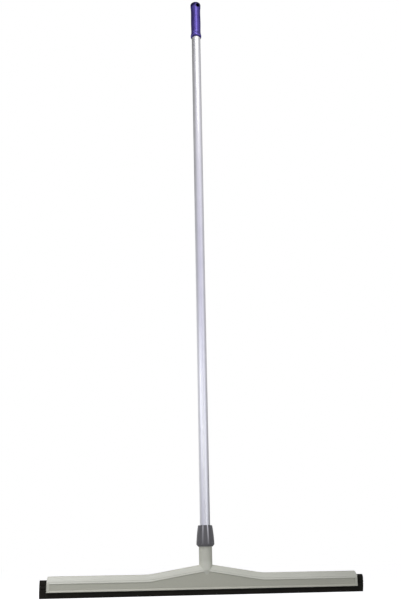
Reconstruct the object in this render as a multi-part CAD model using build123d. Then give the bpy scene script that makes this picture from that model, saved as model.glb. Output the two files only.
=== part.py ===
from build123d import *
import math
import os

os.makedirs("parts", exist_ok=True)

# Floor squeegee: a moulded frame with a pair of foam-rubber blades, and a tube
# handle held in the frame's socket by a split sleeve and a ribbed nut.
# Millimetres. X runs along the blade, -Y is the front, +Z runs up the handle.
# The origin is on the floor, under the middle of the blade.

# ---------------------------------------------------------------- dimensions
# blade pair
BLADE_LENGTH = 750.0
BLADE_HEIGHT = 39.0
BLADE_THICK = 8.0
SPINE_WEB = 3.0  # stiff strip between the two foam strips
SPINE_LOW_Z = 11.5
SPINE_HEAD_HALF = 6.0
SPINE_HEAD_THICK = 2.3
SPINE_HALF_LENGTH = 355.6

# frame
FRAME_LENGTH = 720.0
FRAME_LOW_Z = 12.4
RIDGE_Z = 46.9  # level part of the roof
RIDGE_HALF = 4.0  # half width of the roof's top, before it is rounded
RIDGE_R = 5.0  # rounding along the ridge
ROOF_DROP = 16.0  # height of the curved roof side
ROOF_HALF = 14.0  # half depth at the roof's lower edge and the rims
ROOF_CROWN = 1.8  # how far the roof side bows out
ROOF_WALL = 2.6
PANEL_HALF = 13.0  # half depth at the recessed panels
LIP_HALF = 15.0  # half depth at the flared lip along the bottom
CHANNEL_HALF = 9.85  # half width of the channel that holds the blades
LIP_HEIGHT = 4.6
RIM_WIDTH = 6.5
END_CORNER_R = 4.5  # upright corners at the ends
END_LEAN = 3.2  # how far the roof's ends lean in
HUMP_HALF = 131.0
HUMP_APEX_Z = 68.2  # where the two slopes would meet
TOOTH_Z = (19.5, 26.5)  # long teeth on the channel walls
TOOTH_DEPTH = 1.3
RIB_X = (30.0, 75.0, 120.0, 165.0, 210.0, 255.0, 300.0)
RIB_THICK = 2.0

# socket and clamp
SOCKET_R = 15.3
SOCKET_FOOT_Z = 44.2  # where the neck has faded into the panels
SOCKET_FLOOR_Z = 68.7
SOCKET_TOP_Z = 133.0
BORE_R = 12.3
THREAD_PITCH = 3.0
THREAD_CREST_R = 16.1  # on the socket's outside
THREAD_LOW_Z = 108.0
THREAD_TURNS = 6
MOUTH_LOW_Z = 116.0
MOUTH_LOW_R = 13.45
MOUTH_TOP_R = 14.2

# lock nut
NUT_LOW_Z = 106.1
NUT_TOP_Z = 153.5
NUT_RIBS = 9
NUT_RIB_R = 3.4
NUT_RIB_PROUD = 1.3
NUT_RIB_TURN = -12.4  # degrees, so that a groove faces the front left
NUT_SKIRT_R = 21.2  # widest, at the corner above the shallow underside
NUT_SKIRT_UP = 5.2  # height of that corner
NUT_LOW_R = 16.9
NUT_BORE_R = 16.35
NUT_THREAD_R = 15.6
NUT_POCKET_R = 15.65  # round the socket's end and the sleeve's collar
NUT_SHOULDER_Z = 142.3
NUT_HOLE_R = 12.4

# handle
TUBE_R = 12.0
TUBE_WALL = 1.2
TUBE_LENGTH = 1493.5
TUBE_LOW_Z = 71.0
GRIP_LOW_Z = 1475.5
GRIP_TOP_Z = 1589.5
HANG_HOLE_R = 4.75
HANG_HOLE_Z = 1576.3
HANG_HOLE_TURN = 15.0  # degrees from the front towards +X

BLADE_HALF = SPINE_WEB / 2 + BLADE_THICK
TUBE_TOP_Z = TUBE_LOW_Z + TUBE_LENGTH


# ------------------------------------------------------------------- helpers
def block(x0, x1, y0, y1, z0, z1):
    return Pos((x0 + x1) / 2, (y0 + y1) / 2, (z0 + z1) / 2) * Box(
        x1 - x0, y1 - y0, z1 - z0
    )


def rod(r, z0, z1):
    return Pos(0, 0, (z0 + z1) / 2) * Cylinder(r, z1 - z0)


def cone(r0, r1, z0, z1):
    return Pos(0, 0, (z0 + z1) / 2) * Cone(r0, r1, z1 - z0)


def along_x(points, x0, x1):
    """A (y, z) outline run along X."""
    face = make_face(Polyline(*[(x0, y, z) for y, z in points], close=True))
    return extrude(face, amount=x1 - x0, dir=(1, 0, 0))


def turned(points):
    """An (r, z) outline of straight sides, turned about Z."""
    face = make_face(Polyline(*[(r, 0, z) for r, z in points], close=True))
    return revolve(face, Axis.Z)


def mirrored(points):
    return [(-y, z) for y, z in points]


def helix_ridge(r_root, r_crest, w_root, w_crest, z0, turns):
    """A helical ridge on a cylinder of r_root, out or in to r_crest."""
    path = Helix(pitch=THREAD_PITCH, height=THREAD_PITCH * turns, radius=r_root, center=(0, 0, z0))
    side = 1 if r_crest > r_root else -1
    high = abs(r_crest - r_root)
    outline = Polyline(
        (-side * 0.25, -w_root / 2),
        (side * high, -w_crest / 2),
        (side * high, w_crest / 2),
        (-side * 0.25, w_root / 2),
        close=True,
    )
    plane = Plane(origin=path @ 0, x_dir=(1, 0, 0), z_dir=path % 0)
    return sweep(plane * make_face(outline), path=path, is_frenet=True)


# --------------------------------------------------------------------- frame
def ridge_line(half):
    return FilletPolyline(
        (-half, 0, RIDGE_Z),
        (-HUMP_HALF, 0, RIDGE_Z),
        (0, 0, HUMP_APEX_Z),
        (HUMP_HALF, 0, RIDGE_Z),
        (half, 0, RIDGE_Z),
        radius=[130.0, 60.0, 130.0],
    )


# the roof side is an arc from the ridge flat to the roof's lower edge
_chord = math.hypot(ROOF_HALF - RIDGE_HALF, ROOF_DROP)
_out = (ROOF_DROP / _chord, (ROOF_HALF - RIDGE_HALF) / _chord)
ROOF_R = ((_chord / 2) ** 2 + ROOF_CROWN**2) / (2 * ROOF_CROWN)
ROOF_CY = (RIDGE_HALF + ROOF_HALF) / 2 - _out[0] * (ROOF_R - ROOF_CROWN)
ROOF_CZ = -ROOF_DROP / 2 - _out[1] * (ROOF_R - ROOF_CROWN)


def roof_point(r, angle):
    return (ROOF_CY + r * math.cos(angle), ROOF_CZ + r * math.sin(angle))


def at_x(x, p, side=1):
    return (x, side * p[0], RIDGE_Z + p[1])


def closed_section(x, line, depth):
    """A face from one side's edges and points, closed at the ridge and at depth.

    line lists (start, middle or None, end) from the ridge down, as (y, z)."""
    edges = [Line(at_x(x, line[0][0], -1), at_x(x, line[0][0]))]
    for side in (1, -1):
        for a, b, c in line:
            points = [at_x(x, p, side) for p in (a, b, c) if p]
            edges.append(ThreePointArc(*points) if b else Line(*points))
        foot = line[-1][2]
        edges.append(Line(at_x(x, foot, side), at_x(x, (foot[0], -depth), side)))
    edges.append(Line(at_x(x, (foot[0], -depth)), at_x(x, (foot[0], -depth), -1)))
    return make_face(Wire(edges))


def arc_between(cy, cz, r, a0, a1):
    """An arc about (cy, cz) as (start, middle, end)."""
    return tuple((cy + r * math.cos(a), cz + r * math.sin(a)) for a in (a0, (a0 + a1) / 2, a1))


def roof_section(x, depth):
    """The roof's outside: rounded ridge, bowed side and a rounded lower edge."""
    turn_y = ROOF_CY + math.sqrt((ROOF_R - RIDGE_R) ** 2 - (RIDGE_R + ROOF_CZ) ** 2)
    turn = math.atan2(-RIDGE_R - ROOF_CZ, turn_y - ROOF_CY)
    a_low = math.asin((0.5 - ROOF_DROP - ROOF_CZ) / ROOF_R)
    edge = roof_point(ROOF_R, a_low)
    under = (edge[0] - 0.45, -ROOF_DROP - 0.45)
    line = [
        arc_between(turn_y, -RIDGE_R, RIDGE_R, math.pi / 2, turn),
        arc_between(ROOF_CY, ROOF_CZ, ROOF_R, turn, a_low),
        (edge, (edge[0] - 0.02, -ROOF_DROP - 0.2), under),
        (under, None, (PANEL_HALF, -ROOF_DROP - 0.7)),
    ]
    return closed_section(x, line, depth)


def hollow_section(x, depth):
    """The inside under the roof, down to the channel's walls."""
    r = ROOF_R - ROOF_WALL
    a_top = math.asin((-ROOF_WALL - ROOF_CZ) / r)
    a_low = math.acos((CHANNEL_HALF - ROOF_CY) / r)
    return closed_section(x, [arc_between(ROOF_CY, ROOF_CZ, r, a_top, a_low)], depth)


half = FRAME_LENGTH / 2
outer = sweep(
    roof_section(-half, 80.0),
    path=ridge_line(half),
    normal=(1, 0, 0),
)
outer &= block(-half - 1, half + 1, -30, 30, FRAME_LOW_Z, 120)

# flared lip along the bottom, front and rear, and the rims at both ends
lip = [
    (PANEL_HALF - 1.0, FRAME_LOW_Z),
    (LIP_HALF - 0.9, FRAME_LOW_Z),
    (LIP_HALF - 0.25, FRAME_LOW_Z + 0.25),
    (LIP_HALF, FRAME_LOW_Z + 0.9),
    (LIP_HALF - 0.2, FRAME_LOW_Z + 1.5),
    (PANEL_HALF + 0.25, FRAME_LOW_Z + LIP_HEIGHT - 0.5),
    (PANEL_HALF, FRAME_LOW_Z + LIP_HEIGHT),
    (PANEL_HALF - 1.0, FRAME_LOW_Z + LIP_HEIGHT),
]
rim = [
    (PANEL_HALF - 1.0, FRAME_LOW_Z + 1.0),
    (ROOF_HALF, FRAME_LOW_Z + 1.0),
    (ROOF_HALF, RIDGE_Z - ROOF_DROP),
    (PANEL_HALF - 1.0, RIDGE_Z - ROOF_DROP),
]
for points in (lip, mirrored(lip)):
    outer += along_x(points, -half, half)
for points in (rim, mirrored(rim)):
    for x0, x1 in ((-half, -half + RIM_WIDTH), (half - RIM_WIDTH, half)):
        outer += along_x(points, x0, x1)

# the ends lean in towards the ridge, and their upright corners are round
z_edge = RIDGE_Z - ROOF_DROP
side_view = make_face(
    Wire(
        [
            Line((-half, 0, 0), (half, 0, 0)),
            Line((half, 0, 0), (half, 0, z_edge)),
            ThreePointArc(
                (half, 0, z_edge),
                (half - 0.4 * END_LEAN, 0, z_edge + 0.6 * ROOF_DROP),
                (half - END_LEAN, 0, RIDGE_Z + 0.2),
            ),
            Line((half - END_LEAN, 0, RIDGE_Z + 0.2), (half - END_LEAN, 0, 120)),
            Line((half - END_LEAN, 0, 120), (-half + END_LEAN, 0, 120)),
            Line((-half + END_LEAN, 0, 120), (-half + END_LEAN, 0, RIDGE_Z + 0.2)),
            ThreePointArc(
                (-half + END_LEAN, 0, RIDGE_Z + 0.2),
                (-half + 0.4 * END_LEAN, 0, z_edge + 0.6 * ROOF_DROP),
                (-half, 0, z_edge),
            ),
            Line((-half, 0, z_edge), (-half, 0, 0)),
        ]
    )
)
outer &= extrude(side_view, amount=40, dir=(0, 1, 0), both=True)
outer &= extrude(RectangleRounded(FRAME_LENGTH, 2 * LIP_HALF + 0.01, END_CORNER_R), amount=120)

# hollow inside: the blade channel below, open at the bottom and at both ends
hollow = sweep(
    hollow_section(-half - 5, 90.0),
    path=ridge_line(half + 5),
    normal=(1, 0, 0),
)
frame = outer - hollow

# cross ribs under the roof, which stand just over the spine's head; the left
# end's rib reaches lower and stops the blade pair there
spine_head_top = BLADE_HEIGHT + SPINE_HEAD_THICK
ribs = [
    block(s * x - RIB_THICK / 2, s * x + RIB_THICK / 2, -12, 12, spine_head_top + 0.4, 90)
    for x in RIB_X
    for s in (-1, 1)
]
ribs.append(block(-half, -half + 4, -12, 12, BLADE_HEIGHT + 0.4, 90))
ribs.append(block(half - 4, half, -12, 12, spine_head_top + 0.4, 90))
for rib in ribs:
    frame += rib & outer

# long teeth on the channel walls that hold the foam
for z in TOOTH_Z:
    tooth = [
        (CHANNEL_HALF + 0.2, z - 1.5 * (TOOTH_DEPTH + 0.2) / TOOTH_DEPTH),
        (CHANNEL_HALF - TOOTH_DEPTH, z),
        (CHANNEL_HALF + 0.2, z + 1.5 * (TOOTH_DEPTH + 0.2) / TOOTH_DEPTH),
    ]
    for points in (tooth, mirrored(tooth)):
        frame += along_x(points, -half + 8, half - 8)

# socket: a round neck that fades into the panels at its foot
frame += cone(12.6, SOCKET_R, SOCKET_FOOT_Z, SOCKET_FOOT_Z + 10.5)
frame += rod(SOCKET_R, SOCKET_FOOT_Z + 10.5, SOCKET_TOP_Z)
frame += rod(12.6, spine_head_top + 0.4, SOCKET_FOOT_Z + 0.1)
frame -= rod(9.5, spine_head_top, SOCKET_FLOOR_Z - 3.0)
frame -= rod(BORE_R, SOCKET_FLOOR_Z, SOCKET_TOP_Z + 1)
frame -= cone(MOUTH_LOW_R, MOUTH_TOP_R, MOUTH_LOW_Z, SOCKET_TOP_Z)
frame += helix_ridge(SOCKET_R, THREAD_CREST_R, 1.9, 0.9, THREAD_LOW_Z + 1.0, THREAD_TURNS)
export_step(frame, "parts/squeegee_frame.step")

# ---------------------------------------------------------------- blade pair
half_web = SPINE_WEB / 2
barbs = (18.0, 25.0, 32.0)
spine_side = [(half_web, SPINE_LOW_Z)]
for z in barbs:
    spine_side += [(half_web, z - 1.6), (half_web + 0.8, z + 0.8), (half_web, z + 0.8)]
spine_side += [
    (half_web, BLADE_HEIGHT),
    (SPINE_HEAD_HALF, BLADE_HEIGHT),
    (SPINE_HEAD_HALF, spine_head_top - 0.6),
    (SPINE_HEAD_HALF - 0.6, spine_head_top),
]
outline = spine_side + mirrored(spine_side)[::-1]
spine = along_x(outline, -SPINE_HALF_LENGTH, SPINE_HALF_LENGTH)
export_step(spine, "parts/blade_spine.step")

# each strip has shallow grooves where the channel's teeth press in
blade_side = [(half_web, 0.0), (BLADE_HALF, 0.0)]
for z in TOOTH_Z:
    blade_side += [
        (BLADE_HALF, z - 1.9),
        (CHANNEL_HALF - TOOTH_DEPTH - 0.4, z),
        (BLADE_HALF, z + 1.9),
    ]
blade_side += [
    (BLADE_HALF, BLADE_HEIGHT - 4.2),
    (BLADE_HALF - 1.95, BLADE_HEIGHT),
    (half_web, BLADE_HEIGHT),
]
front_blade = along_x(mirrored(blade_side), -BLADE_LENGTH / 2, BLADE_LENGTH / 2) - spine
rear_blade = along_x(blade_side, -BLADE_LENGTH / 2, BLADE_LENGTH / 2) - spine
export_step(front_blade, "parts/front_blade.step")
export_step(rear_blade, "parts/rear_blade.step")

# -------------------------------------------------------------------- clamp
# split sleeve: a thin taper in the socket's mouth and a collar under the nut
sleeve_low = MOUTH_LOW_Z + 1.5
taper = (MOUTH_TOP_R - MOUTH_LOW_R) / (SOCKET_TOP_Z - MOUTH_LOW_Z)
collar_low = SOCKET_TOP_Z + 1.2
sleeve = turned(
    [
        (BORE_R, sleeve_low),
        (MOUTH_LOW_R + taper * 1.5 - 0.31, sleeve_low),
        (MOUTH_TOP_R + taper * 1.2 - 0.31, collar_low),
        (NUT_POCKET_R - 0.35, collar_low),
        (NUT_POCKET_R - 0.35, NUT_SHOULDER_Z - 1.1),
        (NUT_POCKET_R - 1.15, NUT_SHOULDER_Z - 0.3),
        (BORE_R, NUT_SHOULDER_Z - 0.3),
    ]
)
sleeve -= block(0, 20, -1.25, 1.25, sleeve_low - 1, NUT_SHOULDER_Z)
for turn in (90, 180, 270):
    sleeve -= Rot(0, 0, turn) * block(0, 20, -0.6, 0.6, sleeve_low - 1, collar_low - 3)
export_step(sleeve, "parts/clamp_sleeve.step")


# ribbed nut: a barrel that narrows towards the top, with round ribs and a
# shallow conical underside
NUT_MID = (20.05, NUT_LOW_Z + 22.6)
NUT_HIGH = (16.75, NUT_TOP_Z - 0.4)


def nut_side(inset):
    """The nut's outside in the XZ plane, moved in by inset."""
    return ThreePointArc(
        (NUT_SKIRT_R - inset, 0, NUT_LOW_Z + NUT_SKIRT_UP),
        (NUT_MID[0] - inset, 0, NUT_MID[1]),
        (NUT_HIGH[0] - inset, 0, NUT_HIGH[1]),
    )


def nut_body(inset):
    side = nut_side(inset)
    low_r = NUT_LOW_R - inset * 0.1
    top_r = NUT_HIGH[0] - 0.3 - inset
    edges = [
        Line((0, 0, NUT_LOW_Z), (low_r, 0, NUT_LOW_Z)),
        Line((low_r, 0, NUT_LOW_Z), side @ 0),
        side,
        Line(side @ 1, (top_r, 0, NUT_TOP_Z)),
        Line((top_r, 0, NUT_TOP_Z), (0, 0, NUT_TOP_Z)),
        Line((0, 0, NUT_TOP_Z), (0, 0, NUT_LOW_Z)),
    ]
    return revolve(make_face(Wire(edges)), Axis.Z)


nut = nut_body(NUT_RIB_PROUD)
# the ribs run on past both ends before they are cut to the nut's height
rib_path = ThreePointArc(
    (NUT_SKIRT_R + 0.19 - NUT_RIB_R, 0, NUT_LOW_Z - 3.0),
    (NUT_MID[0] - NUT_RIB_R, 0, NUT_MID[1]),
    (NUT_HIGH[0] - 0.34 - NUT_RIB_R, 0, NUT_TOP_Z + 1.5),
)
rib_end = Plane(origin=rib_path @ 0, x_dir=(0, 1, 0), z_dir=rib_path % 0)
rib = sweep(rib_end * Circle(NUT_RIB_R), path=rib_path)
rib &= nut_body(-0.15)
for i in range(NUT_RIBS):
    nut += Rot(0, 0, 360.0 * (i + 0.5) / NUT_RIBS - 90.0 + NUT_RIB_TURN) * rib
nut -= rod(NUT_BORE_R, NUT_LOW_Z - 1, SOCKET_TOP_Z - 2.0)
nut -= rod(NUT_POCKET_R, NUT_LOW_Z - 1, NUT_SHOULDER_Z)
nut -= rod(NUT_HOLE_R, NUT_LOW_Z, NUT_TOP_Z + 1)
nut -= cone(NUT_HOLE_R, NUT_HOLE_R + 1.2, NUT_TOP_Z - 1.2, NUT_TOP_Z + 0.001)
nut += helix_ridge(
    NUT_BORE_R, NUT_THREAD_R, 1.9, 0.9, THREAD_LOW_Z + 1.0 + THREAD_PITCH / 2, THREAD_TURNS
)
export_step(nut, "parts/lock_nut.step")

# ------------------------------------------------------------------- handle
tube = rod(TUBE_R, TUBE_LOW_Z, TUBE_TOP_Z) - rod(
    TUBE_R - TUBE_WALL, TUBE_LOW_Z - 1, TUBE_TOP_Z + 1
)
export_step(tube, "parts/handle_tube.step")

plug_r = TUBE_R - TUBE_WALL - 0.05
plug = turned(
    [
        (0.0, TUBE_LOW_Z - 2.0),
        (TUBE_R - 0.8, TUBE_LOW_Z - 2.0),
        (TUBE_R, TUBE_LOW_Z - 1.2),
        (TUBE_R, TUBE_LOW_Z),
        (plug_r, TUBE_LOW_Z),
        (plug_r, TUBE_LOW_Z + 17.0),
        (plug_r - 1.0, TUBE_LOW_Z + 19.0),
        (plug_r - 2.2, TUBE_LOW_Z + 19.0),
        (plug_r - 2.2, TUBE_LOW_Z + 2.0),
        (0.0, TUBE_LOW_Z + 2.0),
    ]
)
export_step(plug, "parts/tube_end_plug.step")

# push-on grip: flared collar, waist, belly, neck and a round bead with a
# hanging hole across it
grip_bore = TUBE_R + 0.05


def arc_from_upright(p0, p1):
    """An arc in the XZ plane from p0, where it runs upright, to p1."""
    dr, dz = p1[0] - p0[0], p1[1] - p0[1]
    r = (dr * dr + dz * dz) / (2 * dr)  # signed: the centre is at p0[0] + r
    turn = math.atan2(dz, r - dr) if r > 0 else math.atan2(-dz, dr - r)
    mid = (p0[0] + r * (1 - math.cos(turn / 2)), p0[1] + r * math.sin(turn / 2))
    return ThreePointArc(
        (p0[0], 0, p0[1]), (mid[0], 0, mid[1]), (p1[0], 0, p1[1])
    )


def swell(p0, p1, share=0.5):
    """Two arcs that run upright at both ends and meet on the line between them."""
    j = (p0[0] + share * (p1[0] - p0[0]), p0[1] + share * (p1[1] - p0[1]))
    back = arc_from_upright(p1, j)
    return [
        arc_from_upright(p0, j),
        ThreePointArc(back @ 1, back @ 0.5, back @ 0),
    ]


def on_grip(r, up):
    return (r, GRIP_LOW_Z + up)


collar, waist, belly = on_grip(14.9, 4.6), on_grip(13.1, 21.0), on_grip(13.55, 50.0)
neck, bead = on_grip(13.15, 84.0), on_grip(14.2, 107.7)
collar_foot = on_grip(14.6, 2.6)
foot_arc = arc_from_upright(collar, collar_foot)
edges = [
    Line((grip_bore, 0, GRIP_LOW_Z), (13.4, 0, GRIP_LOW_Z)),
    Line((13.4, 0, GRIP_LOW_Z), (collar_foot[0], 0, collar_foot[1])),
    ThreePointArc(foot_arc @ 1, foot_arc @ 0.5, foot_arc @ 0),
]
edges += swell(collar, waist, 0.3) + swell(waist, belly) + swell(belly, neck) + swell(neck, bead)
# the bead's shoulder, and the low dome on top that runs on from it
BEAD_R = 5.0
drop = GRIP_TOP_Z - bead[1]
c = bead[0] - BEAD_R
DOME_R = (c * c + drop * drop - BEAD_R * BEAD_R) / (2 * (drop - BEAD_R))
dome_z = GRIP_TOP_Z - DOME_R
lean = math.atan2(bead[1] - dome_z, c)
meet = (DOME_R * math.cos(lean), dome_z + DOME_R * math.sin(lean))
a1 = (lean + math.pi / 2) / 2
edges += [
    ThreePointArc(
        (bead[0], 0, bead[1]),
        (c + BEAD_R * math.cos(lean / 2), 0, bead[1] + BEAD_R * math.sin(lean / 2)),
        (meet[0], 0, meet[1]),
    ),
    ThreePointArc(
        (meet[0], 0, meet[1]),
        (DOME_R * math.cos(a1), 0, dome_z + DOME_R * math.sin(a1)),
        (0, 0, GRIP_TOP_Z),
    ),
    Line((0, 0, GRIP_TOP_Z), (0, 0, TUBE_TOP_Z + 0.2)),
    Line((0, 0, TUBE_TOP_Z + 0.2), (grip_bore, 0, TUBE_TOP_Z + 0.2)),
    Line((grip_bore, 0, TUBE_TOP_Z + 0.2), (grip_bore, 0, GRIP_LOW_Z)),
]
grip = revolve(make_face(Wire(edges)), Axis.Z)
hole = Pos(0, 0, HANG_HOLE_Z) * Rot(0, 0, HANG_HOLE_TURN) * Rot(90, 0, 0) * Cylinder(HANG_HOLE_R, 60)
grip -= hole
export_step(grip, "parts/hand_grip.step")
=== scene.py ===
import bpy
import math
from mathutils import Matrix, Vector, noise


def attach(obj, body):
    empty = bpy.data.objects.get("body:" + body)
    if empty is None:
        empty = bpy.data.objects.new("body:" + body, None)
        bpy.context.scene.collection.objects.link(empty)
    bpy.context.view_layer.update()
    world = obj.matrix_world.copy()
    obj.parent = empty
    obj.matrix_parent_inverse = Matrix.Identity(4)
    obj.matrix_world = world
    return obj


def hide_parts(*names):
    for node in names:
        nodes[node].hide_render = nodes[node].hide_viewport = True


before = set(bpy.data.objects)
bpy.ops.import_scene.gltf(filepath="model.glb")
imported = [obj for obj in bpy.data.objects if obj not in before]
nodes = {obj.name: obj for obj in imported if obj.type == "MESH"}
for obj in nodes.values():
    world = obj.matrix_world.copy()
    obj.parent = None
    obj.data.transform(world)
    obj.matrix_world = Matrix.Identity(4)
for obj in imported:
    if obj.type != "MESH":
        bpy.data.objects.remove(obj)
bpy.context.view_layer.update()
scene = bpy.context.scene
scene.view_settings.view_transform = "Standard"
scene.view_settings.look = "None"


# ------------------------------------------------------------------ materials
class Mat:
    """A node material with a few short helpers."""

    def __init__(self, name):
        self.m = bpy.data.materials.new(name)
        self.m.use_nodes = True
        self.t = self.m.node_tree
        self.t.nodes.clear()
        self.out = self.add("ShaderNodeOutputMaterial")
        self.bsdf = self.add("ShaderNodeBsdfPrincipled")
        self.link(self.bsdf.outputs["BSDF"], self.out.inputs["Surface"])
        self.co = self.add("ShaderNodeTexCoord").outputs["Object"]

    def add(self, kind, **props):
        n = self.t.nodes.new(kind)
        for k, v in props.items():
            setattr(n, k, v)
        return n

    def link(self, a, b):
        self.t.links.new(a, b)

    def set(self, **values):
        for k, v in values.items():
            self.bsdf.inputs[k.replace("_", " ")].default_value = v

    def stretched(self, x, y, z):
        n = self.add("ShaderNodeMapping")
        n.inputs["Scale"].default_value = (x, y, z)
        self.link(self.co, n.inputs["Vector"])
        return n.outputs["Vector"]

    def noise(self, scale, detail=4.0, rough=0.55, vector=None):
        n = self.add("ShaderNodeTexNoise")
        n.inputs["Scale"].default_value = scale
        n.inputs["Detail"].default_value = detail
        n.inputs["Roughness"].default_value = rough
        self.link(vector or self.co, n.inputs["Vector"])
        return n.outputs["Fac"]

    def cells(self, scale, feature="F1", vector=None):
        n = self.add("ShaderNodeTexVoronoi", feature=feature)
        n.inputs["Scale"].default_value = scale
        self.link(vector or self.co, n.inputs["Vector"])
        return n.outputs["Distance"]

    def ramp(self, fac, *stops):
        n = self.add("ShaderNodeValToRGB")
        e = n.color_ramp.elements
        while len(e) < len(stops):
            e.new(0.5)
        for el, (at, colour) in zip(e, stops):
            el.position = at
            el.color = (*colour, 1.0) if len(colour) == 3 else colour
        self.link(fac, n.inputs["Fac"])
        return n.outputs["Color"]

    def span(self, fac, lo, hi, a, b):
        n = self.add("ShaderNodeMapRange")
        n.inputs["From Min"].default_value = lo
        n.inputs["From Max"].default_value = hi
        n.inputs["To Min"].default_value = a
        n.inputs["To Max"].default_value = b
        self.link(fac, n.inputs["Value"])
        return n.outputs["Result"]

    def blend(self, fac, a, b, kind="MIX"):
        n = self.add("ShaderNodeMix", data_type="RGBA", blend_type=kind)
        if isinstance(fac, float):
            n.inputs["Factor"].default_value = fac
        else:
            self.link(fac, n.inputs["Factor"])
        self.link(a, n.inputs[6])
        self.link(b, n.inputs[7])
        return n.outputs[2]

    def math(self, op, a, b):
        n = self.add("ShaderNodeMath", operation=op)
        for i, v in enumerate((a, b)):
            if isinstance(v, (int, float)):
                n.inputs[i].default_value = v
            else:
                self.link(v, n.inputs[i])
        return n.outputs[0]

    def bump(self, height, strength, distance, under=None):
        n = self.add("ShaderNodeBump")
        n.inputs["Strength"].default_value = strength
        n.inputs["Distance"].default_value = distance
        self.link(height, n.inputs["Height"])
        if under is not None:
            self.link(under, n.inputs["Normal"])
        return n.outputs["Normal"]

    def finish(self, colour=None, rough=None, normal=None):
        if colour is not None:
            self.link(colour, self.bsdf.inputs["Base Color"])
        if rough is not None:
            self.link(rough, self.bsdf.inputs["Roughness"])
        if normal is not None:
            self.link(normal, self.bsdf.inputs["Normal"])
        return self.m


def moulded(name, light, dark, rough, grain=900.0, grain_depth=0.00004, painted_light=None):
    """Moulded plastic: slow shade changes, faint flow streaks along the part, fine spark-eroded grain.
    painted_light(m) gives a mask, 0 to 1, and the colour painted there: painted shade or painted highlight."""
    m = Mat(name)
    broad = m.noise(7.0, 3.0)
    flow = m.noise(1.0, 5.0, 0.6, m.stretched(5.0, 90.0, 60.0))
    fine = m.noise(grain, 2.0)
    fac = m.math("ADD", m.math("MULTIPLY", broad, 0.65), m.math("MULTIPLY", flow, 0.35))
    colour = m.ramp(fac, (0.36, dark), (0.64, light))
    speck = m.ramp(fine, (0.30, (0.93, 0.93, 0.93)), (0.62, (1.0, 1.0, 1.0)))
    colour = m.blend(1.0, colour, speck, "MULTIPLY")
    # mix in the caller's painted shade and painted highlights
    if painted_light is not None:
        fac, painted_colour = painted_light(m)
        colour = m.blend(fac, colour, m.ramp(fine, (0.3, painted_colour), (0.7, tuple(c * 1.1 for c in painted_colour))))
    roughness = m.span(m.math("ADD", broad, m.math("MULTIPLY", fine, 0.5)), 0.4, 1.1, rough - 0.05, rough + 0.07)
    normal = m.bump(fine, 0.35, grain_depth)
    normal = m.bump(flow, 0.12, 0.00015, normal)
    return m.finish(colour, roughness, normal), m


def upright_faces_painted_shade(m):
    """Painted shade: a darker colour on the recessed panels and the lip under them, and some of it on the end rims
    and up the socket, standing in for the shade on these upright faces.
    """
    xyz = m.add("ShaderNodeSeparateXYZ")
    m.link(m.co, xyz.inputs[0])
    x, y, z = xyz.outputs
    depth = m.math("ABSOLUTE", m.math("SUBTRACT", m.math("ABSOLUTE", y, 0.0), 0.0130), 0.0)
    flat = m.span(depth, 0.00010, 0.00016, 1.0, 0.0)
    r = m.math("SQRT", m.math("ADD", m.math("MULTIPLY", x, x), m.math("MULTIPLY", y, y)), 0.0)
    off_neck = m.math("ABSOLUTE", m.math("SUBTRACT", r, m.span(z, 0.0442, 0.0547, 0.0126, 0.0153)), 0.0)
    clear = m.span(off_neck, 0.00012, 0.00035, 0.0, 1.0)
    lip = m.span(z, 0.01705, 0.0169, 0.0, 0.80)
    socket = m.span(z, 0.069, 0.078, 0.0, 0.34)
    rim = m.math("MULTIPLY", m.span(m.math("ABSOLUTE", x, 0.0), 0.3530, 0.3538, 0.0, 0.5), m.span(z, 0.0335, 0.0325, 0.0, 1.0))
    sides = m.math("MAXIMUM", m.math("MAXIMUM", m.math("MULTIPLY", flat, clear), lip), rim)
    return m.math("MAXIMUM", sides, socket), (0.405, 0.410, 0.319)


# the frame's upright faces carry painted shade
frame_mat, m = moulded("frame_plastic", (0.624, 0.637, 0.522), (0.580, 0.592, 0.480), 0.42, painted_light=upright_faces_painted_shade)
m.set(Specular_IOR_Level=0.4)


# the painted highlight stripe on the nut's ribs stands this far off the crest's middle
HIGHLIGHT_TURN = 3.2  # degrees from the crest's middle


def rib_painted_highlight(m):
    """Painted highlight: a lighter stripe on the crests of the nut's ribs, a little to one side, strongest towards
    the top and on the front and back; the bottom band is lightened a little too.
    """
    xyz = m.add("ShaderNodeSeparateXYZ")
    m.link(m.co, xyz.inputs[0])
    x, y, z = xyz.outputs
    r = m.math("SQRT", m.math("ADD", m.math("MULTIPLY", x, x), m.math("MULTIPLY", y, y)), 0.0)
    up = m.math("SUBTRACT", z, 0.1287)
    bend = m.math("MULTIPLY", m.math("MULTIPLY", up, up), 1.654)
    cone = m.math("SUBTRACT", m.math("SUBTRACT", 0.02005, m.math("MULTIPLY", up, 0.0949)), bend)
    outside = m.span(m.math("SUBTRACT", r, cone), -0.0017, -0.0011, 0.0, 1.0)
    turn = m.math("ADD", m.math("ARCTAN2", y, x), math.radians(82.4 - HIGHLIGHT_TURN))
    wave = m.math("COSINE", m.math("MULTIPLY", turn, 9.0), 0.0)
    crest = m.math("MULTIPLY", outside, m.span(wave, 0.32, 0.96, 0.0, 1.0))
    facing = m.math("ADD", m.math("MULTIPLY", x, 0.035), m.math("MULTIPLY", y, 0.999))
    facing = m.span(m.math("DIVIDE", m.math("ABSOLUTE", facing, 0.0), r), 0.84, 0.97, 0.06, 1.0)
    painted_light = m.math("MULTIPLY", crest, m.span(z, 0.110, 0.150, 0.15, 1.0))
    under = m.span(z, 0.1116, 0.1108, 0.0, 0.09)
    return m.math("MAXIMUM", m.math("MULTIPLY", painted_light, facing), under), (0.68, 0.68, 0.673)


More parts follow.
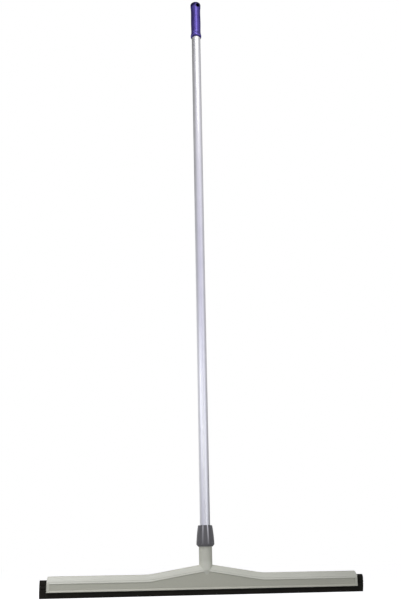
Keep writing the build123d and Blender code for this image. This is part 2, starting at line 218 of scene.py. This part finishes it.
# the nut's rib crests carry a painted highlight
nut_mat, m = moulded(
    "nut_plastic", (0.133, 0.132, 0.130), (0.112, 0.111, 0.109), 0.40, 1100.0, painted_light=rib_painted_highlight
)
m.set(Specular_IOR_Level=0.22)
spine_mat, m = moulded("spine_plastic", (0.32, 0.32, 0.31), (0.28, 0.28, 0.27), 0.45)
sleeve_mat, m = moulded("sleeve_plastic", (0.76, 0.76, 0.73), (0.70, 0.70, 0.67), 0.4)
plug_mat, m = moulded("plug_plastic", (0.022, 0.022, 0.024), (0.016, 0.016, 0.017), 0.42)


def hole_and_top_painted_shade(m):
    """Painted shade: near-black on the wall of the hanging hole, fading out on the surface close round it, and
    darkening the top end.
    """
    xyz = m.add("ShaderNodeSeparateXYZ")
    m.link(m.co, xyz.inputs[0])
    x, y, z = xyz.outputs
    turn = math.radians(15.0)
    across = m.math("ADD", m.math("MULTIPLY", x, math.cos(turn)), m.math("MULTIPLY", y, math.sin(turn)))
    up = m.math("SUBTRACT", z, 1.5763)
    r = m.math("SQRT", m.math("ADD", m.math("MULTIPLY", across, across), m.math("MULTIPLY", up, up)), 0.0)
    wall = m.span(r, 0.00480, 0.00495, 1.0, 0.0)
    round_it = m.span(r, 0.0050, 0.0078, 0.80, 0.0)
    top = m.span(z, 1.5730, 1.5785, 0.0, 0.76)
    return m.math("MAXIMUM", m.math("MAXIMUM", wall, round_it), top), (0.010, 0.007, 0.024)


# the grip's hanging hole and top end carry painted shade
grip_mat, m = moulded(
    "grip_plastic", (0.129, 0.098, 0.402), (0.112, 0.083, 0.364), 0.30, 1300.0, 0.00002, painted_light=hole_and_top_painted_shade
)
m.set(Specular_IOR_Level=0.25, Specular_Tint=(0.30, 0.25, 0.60, 1.0))
# painted light: the lower collar is made paler and less metallic, standing in for the lighter sheen it catches
xyz = m.add("ShaderNodeSeparateXYZ")
m.link(m.co, xyz.inputs[0])
low = m.math("ADD", xyz.outputs[2], m.math("MULTIPLY", m.noise(60.0, 2.0), 0.002))
collar = m.math("MULTIPLY", m.span(low, 1.4985, 1.4925, 0.0, 1.0), m.span(low, 1.4800, 1.4835, 0.15, 1.0))
m.link(m.span(collar, 0.0, 1.0, 0.85, 0.64), m.bsdf.inputs["Metallic"])
pearl = m.bsdf.inputs["Base Color"].links[0].from_socket
paler = m.ramp(m.noise(1300.0, 2.0), (0.3, (0.178, 0.140, 0.535)), (0.7, (0.196, 0.154, 0.575)))
m.link(m.blend(collar, pearl, paler), m.bsdf.inputs["Base Color"])


def drawn_aluminium():
    """Satin aluminium with fine lines along the tube."""
    m = Mat("tube_aluminium")
    lines = m.noise(1.0, 4.0, 0.6, m.stretched(1800.0, 1800.0, 1.5))
    long_lines = m.noise(1.0, 3.0, 0.6, m.stretched(420.0, 420.0, 0.6))
    cloud = m.noise(16.0, 3.0)
    colour = m.ramp(cloud, (0.35, (0.755, 0.755, 0.770)), (0.65, (0.800, 0.800, 0.812)))
    shade = m.ramp(long_lines, (0.3, (0.94, 0.94, 0.94)), (0.65, (1.0, 1.0, 1.0)))
    colour = m.blend(1.0, colour, shade, "MULTIPLY")
    rough = m.span(m.math("ADD", lines, m.math("MULTIPLY", cloud, 0.4)), 0.4, 1.0, 0.30, 0.40)
    normal = m.bump(lines, 0.06, 0.00001)
    # the lines spread the light round the tube more than along it
    around = m.add("ShaderNodeTangent", direction_type="RADIAL", axis="Z")
    m.link(around.outputs[0], m.bsdf.inputs["Tangent"])
    m.set(Metallic=1.0, Anisotropic=0.6)
    return m.finish(colour, rough, normal)


def foam_rubber():
    """Black cellular rubber: open cut cells, dull, with a grey bloom on the cell walls."""
    m = Mat("foam_rubber")
    cell = m.cells(900.0)
    big = m.cells(330.0)
    cloud = m.noise(30.0, 3.0)
    wall = m.ramp(cell, (0.15, (0.0028, 0.0026, 0.0014)), (0.75, (0.0122, 0.0110, 0.0055)))
    bloom = m.ramp(cloud, (0.35, (0.75, 0.75, 0.75)), (0.7, (1.25, 1.25, 1.2)))
    colour = m.blend(1.0, wall, bloom, "MULTIPLY")
    rough = m.span(cell, 0.1, 0.8, 0.9, 0.68)
    normal = m.bump(big, 0.3, 0.0003)
    normal = m.bump(cell, 0.55, 0.0002, normal)
    m.set(Specular_IOR_Level=0.2, Sheen_Weight=0.04, Sheen_Roughness=0.5)
    return m.finish(colour, rough, normal)


tube_mat = drawn_aluminium()
foam_mat = foam_rubber()

for node, material in {
    "squeegee_frame": frame_mat,
    "lock_nut": nut_mat,
    "blade_spine": spine_mat,
    "clamp_sleeve": sleeve_mat,
    "tube_end_plug": plug_mat,
    "hand_grip": grip_mat,
    "handle_tube": tube_mat,
}.items():
    o = nodes[node]
    o.data.materials.clear()
    o.data.materials.append(material)


# ---------------------------------------------------------------- foam blades
def rounded(points, radii, steps=5):
    """A closed (y, z) outline with its corners rounded to the given radii."""
    out = []
    n = len(points)
    for i, (p, r) in enumerate(zip(points, radii)):
        a, b = Vector(points[i - 1]), Vector(points[(i + 1) % n])
        c = Vector(p)
        if r <= 0:
            out.append(c)
            continue
        u, v = (a - c).normalized(), (b - c).normalized()
        half = u.angle(v) / 2
        back = r / math.tan(half)
        centre = c + (u + v).normalized() * (r / math.sin(half))
        s, e = c + u * back - centre, c + v * back - centre
        turn = s.angle(e)
        sign = 1 if s.x * e.y - s.y * e.x > 0 else -1
        for k in range(steps + 1):
            t = sign * turn * k / steps
            out.append(
                centre
                + Vector((s.x * math.cos(t) - s.y * math.sin(t), s.x * math.sin(t) + s.y * math.cos(t)))
            )
    return out


def dense(points, step):
    """The outline with no gap between points over step."""
    out = []
    for i, p in enumerate(points):
        q = points[(i + 1) % len(points)]
        n = max(1, math.ceil((q - p).length / step))
        out += [p.lerp(q, k / n) for k in range(n)]
    return out


def foam_strip(name, side, seed):
    """One strip of the pair, in millimetres, then metres. side -1 is the front.

    The outer face dips where the channel's teeth press in, the inner face where the
    spine's barbs do. The cut ends bow out, and the faces carry the foam's cells."""
    teeth, barbs = (19.5, 26.5), (18.0, 25.0, 32.0)
    pts, rad = [(1.5, 0.0), (9.5, 0.0)], [1.0, 1.1]
    for z in teeth:
        pts += [(9.5, z - 2.0), (8.15, z), (9.5, z + 2.0)]
        rad += [0.9, 0.35, 0.9]
    pts += [(9.5, 34.8), (7.55, 39.0), (1.5, 39.0)]
    rad += [1.2, 0.8, 0.0]
    for z in reversed(barbs):
        pts += [(1.5, z + 0.95), (2.4, z + 0.95), (1.5, z - 1.9)]
        rad += [0.0, 0.0, 0.0]
    outline = dense(rounded(pts, rad), 1.6)
    n = len(outline)
    half, stations = 375.0, 420
    verts, faces = [], []
    for i in range(stations + 1):
        t = i / stations * 2 - 1
        for p in outline:
            y, z = p.x, p.y
            # the cut ends are not quite square: the right one is under-cut towards the floor
            if t > 0:
                bow = 2.3 * max(0.0, 1.0 - z / 26.0) ** 1.5 + 0.8 * max(0.0, (z - 28.0) / 11.0) ** 2
            else:
                bow = 0.4 * abs(z / 19.5 - 1.0) ** 3
            x = t * (half - bow)
            # shallow cells and a lazy waviness on what shows below the lip; the top stays true
            low = max(0.0, min(1.0, (14.0 - z) / 4.0))
            q = Vector((x * 0.22, y * 0.5 + seed * 31.0, z * 0.3))
            cell = noise.noise(q * 3.1)
            wave = noise.noise(Vector((x * 0.013, seed * 7.0, 0.0)))
            out = 1.0 if y > 9.0 else (-1.0 if y < 2.0 else 0.0)
            y += low * out * (0.10 * cell) - (1 - low) * out * 0.03 * abs(cell)
            y += low * 0.25 * wave
            if z < 6.0:
                z = max(0.0, z + (0.10 * cell + 0.12 * noise.noise(q * 0.9)) * (1 - z / 6.0))
            verts.append((x / 1000, side * y / 1000, z / 1000))
    for i in range(stations):
        for j in range(n):
            k = (j + 1) % n
            faces.append((i * n + j, i * n + k, (i + 1) * n + k, (i + 1) * n + j))
    me = bpy.data.meshes.new(name)
    # the ends are closed by rings that step in to the middle of the section
    def cap(start, sign):
        base = start
        ring = list(range(start, start + n))
        cy = sum(verts[k][1] for k in ring) / n
        cz = sum(verts[k][2] for k in ring) / n
        for f in (0.72, 0.42, 0.16):
            new = []
            for k in ring0:
                vx, vy, vz = verts[start + k]
                q = Vector((seed * 3.0 + sign, vy * 900 * f, vz * 900 * f))
                push = sign * (0.25 * noise.noise(q) - 0.1) / 1000
                new.append(len(verts))
                verts.append((vx + push, cy + (vy - cy) * f, cz + (vz - cz) * f))
            for j in range(n):
                k = (j + 1) % n
                a = (ring[j], ring[k], new[k], new[j])
                faces.append(a if sign < 0 else a[::-1])
            ring = new
        faces.append(tuple(ring) if sign < 0 else tuple(ring[::-1]))
    ring0 = range(n)
    cap(0, -1)
    cap(stations * n, 1)
    me.from_pydata(verts, [], faces)
    me.update()
    o = bpy.data.objects.new(name, me)
    scene.collection.objects.link(o)
    me.polygons.foreach_set("use_smooth", [True] * len(me.polygons))
    me.materials.append(foam_mat)
    return o


for name, node, side, seed in (
    ("front_foam_strip", "front_blade", -1, 1),
    ("rear_foam_strip", "rear_blade", 1, 2),
):
    strip = foam_strip(name, side, seed)
    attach(strip, "blade_cassette")
    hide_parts(node)


# ---------------------------------------------------------------------- stage
floor_mesh = bpy.data.meshes.new("floor")
floor_mesh.from_pydata(
    [(-60, -20, 0), (60, -20, 0), (60, 90, 0), (-60, 90, 0)], [], [(0, 1, 2, 3)]
)
floor = bpy.data.objects.new("floor", floor_mesh)
scene.collection.objects.link(floor)
# a pale sheet that glows a little to the camera, so that it stays white to the horizon
fm = Mat("floor_pale")
fm.set(Specular_IOR_Level=0.0)
fm.finish(
    fm.ramp(fm.noise(3.0, 3.0), (0.35, (0.40, 0.40, 0.40)), (0.65, (0.42, 0.42, 0.42))),
    fm.span(fm.noise(40.0), 0.3, 0.7, 0.75, 0.85),
)
glow = fm.add("ShaderNodeEmission")
glow.inputs["Strength"].default_value = 0.87
both = fm.add("ShaderNodeAddShader")
fm.link(glow.outputs[0], both.inputs[0])
fm.link(fm.bsdf.outputs[0], both.inputs[1])
pick = fm.add("ShaderNodeMixShader")
fm.link(fm.add("ShaderNodeLightPath").outputs["Is Camera Ray"], pick.inputs[0])
fm.link(fm.bsdf.outputs[0], pick.inputs[1])
fm.link(both.outputs[0], pick.inputs[2])
fm.link(pick.outputs[0], fm.out.inputs["Surface"])
floor_mesh.materials.append(fm.m)

# studio: white behind the object for the camera; the light itself comes from soft bands
# all round. turn is in degrees to the right of the front, rise above the floor.
AMBIENT = (0.02, 0.02, 0.02)
BANDS = [
    # turn, half turn, rise: starts, full from, full to, ends; radiance
    (-10.0, 120.0, (-20.0, -5.0, 11.0, 32.0), (0.680, 0.655, 0.820)),
    (-70.0, 50.0, (-20.0, -5.0, 9.0, 21.0), (0.275, 0.300, 0.280)),
    (54.0, 47.0, (-20.0, -5.0, 9.0, 23.0), (0.410, 0.440, 0.410)),
    (28.0, 16.0, (-12.0, -3.0, 8.0, 18.0), (1.000, 1.050, 1.000)),
    (-126.0, 44.0, (-20.0, -5.0, 14.0, 36.0), (0.620, 0.620, 0.640)),
    (115.0, 45.0, (0.0, 14.0, 30.0, 44.0), (0.520, 0.520, 0.530)),
    (1.0, 75.0, (16.0, 28.0, 36.0, 48.0), (0.840, 0.820, 0.900)),
    (-70.0, 50.0, (18.0, 27.0, 32.5, 36.0), (0.460, 0.470, 0.430)),
    (60.0, 45.0, (16.0, 28.0, 36.0, 50.0), (0.567, 0.569, 0.568)),
    (176.0, 62.0, (-15.0, 0.0, 17.0, 32.0), (0.800, 0.800, 0.810)),
    (-5.0, 120.0, (9.0, 17.0, 25.0, 32.0), (0.0, 0.0, 0.060)),
    (-118.0, 36.0, (27.0, 31.0, 34.0, 36.0), (0.380, 0.380, 0.380)),
    (-4.0, 48.0, (44.0, 56.0, 78.0, 86.0), (0.500, 0.485, 0.560)),
]
SOFTBOXES = [
    # name, at, aim, size, watts, colour
    ("left_box", (-1.10, -0.75, 0.72), (-0.2, 0.0, 0.1), (0.55, 0.45), 1.25, (0.98, 1.0, 1.0)),
]
SPOTS = [
    # name, at, aim, cone, radius, watts, colour
    ("left_key", (-1.2, -1.2, 3.2), (-0.6, 0.0, 0.0), 44.0, 0.35, 218.0, (1.02, 0.985, 1.13)),
    ("front_key", (-0.9, -1.9, 1.1), (-0.45, 0.0, 0.0), 40.0, 0.35, 16.0, (0.97, 1.0, 1.15)),
    ("front_low", (-0.5, -2.4, 0.75), (-0.05, 0.0, 0.03), 34.0, 0.35, 10.0, (0.95, 1.03, 0.70)),
    ("top_key", (0.06, -1.29, 2.45), (0.0, 0.0, 1.50), 40.0, 0.45, 24.0, (0.99, 1.02, 0.85)),
]

world = bpy.data.worlds.new("studio")
scene.world = world
world.use_nodes = True
t = world.node_tree
t.nodes.clear()


def wnode(kind, **props):
    n = t.nodes.new(kind)
    for k, v in props.items():
        setattr(n, k, v)
    return n


coord = wnode("ShaderNodeTexCoord")


def fade(value, gone, full):
    """0 to 1 as value runs from gone to full."""
    r = wnode("ShaderNodeMapRange", interpolation_type="SMOOTHSTEP")
    r.inputs["From Min"].default_value = gone
    r.inputs["From Max"].default_value = full
    t.links.new(value, r.inputs["Value"])
    return r.outputs["Result"]


def times(a, b):
    n = wnode("ShaderNodeMath", operation="MULTIPLY")
    t.links.new(a, n.inputs[0])
    t.links.new(b, n.inputs[1])
    return n.outputs[0]


level = wnode("ShaderNodeVectorMath", operation="MULTIPLY")
t.links.new(coord.outputs["Generated"], level.inputs[0])
level.inputs[1].default_value = (1.0, 1.0, 0.0)
compass = wnode("ShaderNodeVectorMath", operation="NORMALIZE")
t.links.new(level.outputs["Vector"], compass.inputs[0])
parts = wnode("ShaderNodeSeparateXYZ")
t.links.new(coord.outputs["Generated"], parts.inputs[0])
height = parts.outputs["Z"]


def band(turn, half_turn, rise, radiance):
    """One soft band: full in the middle of its turn and fading out to its ends."""
    a = math.radians(turn - 90.0)
    d = wnode("ShaderNodeVectorMath", operation="DOT_PRODUCT")
    t.links.new(compass.outputs["Vector"], d.inputs[0])
    d.inputs[1].default_value = (math.cos(a), math.sin(a), 0.0)
    starts, full_from, full_to, ends = (math.sin(math.radians(r)) for r in rise)
    around = fade(d.outputs["Value"], math.cos(math.radians(half_turn)), math.cos(math.radians(half_turn * 0.2)))
    upright = times(fade(height, starts, full_from), fade(height, ends, full_to))
    v = wnode("ShaderNodeVectorMath", operation="SCALE")
    v.inputs[0].default_value = radiance
    t.links.new(times(around, upright), v.inputs["Scale"])
    return v.outputs["Vector"]


total = None
for values in BANDS:
    n = wnode("ShaderNodeVectorMath", operation="ADD")
    t.links.new(band(*values), n.inputs[0])
    if total is None:
        n.inputs[1].default_value = AMBIENT
    else:
        t.links.new(total, n.inputs[1])
    total = n.outputs["Vector"]
light = wnode("ShaderNodeBackground")
t.links.new(total, light.inputs["Color"])
seen = wnode("ShaderNodeBackground")
seen.inputs["Color"].default_value = (1, 1, 1, 1)
mix = wnode("ShaderNodeMixShader")
t.links.new(wnode("ShaderNodeLightPath").outputs["Is Camera Ray"], mix.inputs[0])
t.links.new(light.outputs[0], mix.inputs[1])
t.links.new(seen.outputs[0], mix.inputs[2])
t.links.new(mix.outputs[0], wnode("ShaderNodeOutputWorld").inputs["Surface"])


def aimed(o, at, aim):
    o.location = at
    o.rotation_euler = (Vector(aim) - Vector(at)).to_track_quat("-Z", "Y").to_euler()
    scene.collection.objects.link(o)


for name, at, aim, size, watts, colour in SOFTBOXES:
    d = bpy.data.lights.new(name, "AREA")
    d.shape = "RECTANGLE"
    d.size, d.size_y = size
    d.energy = watts
    d.color = colour
    aimed(bpy.data.objects.new(name, d), at, aim)

for name, at, aim, cone, radius, watts, colour in SPOTS:
    d = bpy.data.lights.new(name, "SPOT")
    d.spot_size = math.radians(cone)
    d.spot_blend = 1.0
    d.shadow_soft_size = radius
    d.energy = watts
    d.color = colour
    aimed(bpy.data.objects.new(name, d), at, aim)

# --------------------------------------------------------------------- camera
WIDTH_PX, HEIGHT_PX = 401, 601
FOCAL_PX = 842.75
cam_at = Vector((-0.3800, -1.9960, 0.0600))
yaw, pitch, roll = (math.radians(a) for a in (-10.753, 17.577, -1.050))
right = Vector((math.cos(yaw), math.sin(yaw), 0))
ahead = Vector((-math.sin(yaw), math.cos(yaw), 0))
up = Vector((0, 0, 1))
look = ahead * math.cos(pitch) + up * math.sin(pitch)
up = up * math.cos(pitch) - ahead * math.sin(pitch)
r2 = right * math.cos(roll) + up * math.sin(roll)
u2 = up * math.cos(roll) - right * math.sin(roll)
cam_data = bpy.data.cameras.new("camera")
cam_data.sensor_width = 36.0
cam_data.sensor_fit = "AUTO"
cam_data.lens = FOCAL_PX * 36.0 / HEIGHT_PX
cam_data.clip_start, cam_data.clip_end = 0.01, 100.0
cam = bpy.data.objects.new("camera", cam_data)
scene.collection.objects.link(cam)
cam.matrix_world = Matrix(
    (
        (r2.x, u2.x, -look.x, cam_at.x),
        (r2.y, u2.y, -look.y, cam_at.y),
        (r2.z, u2.z, -look.z, cam_at.z),
        (0, 0, 0, 1),
    )
)
scene.camera = cam
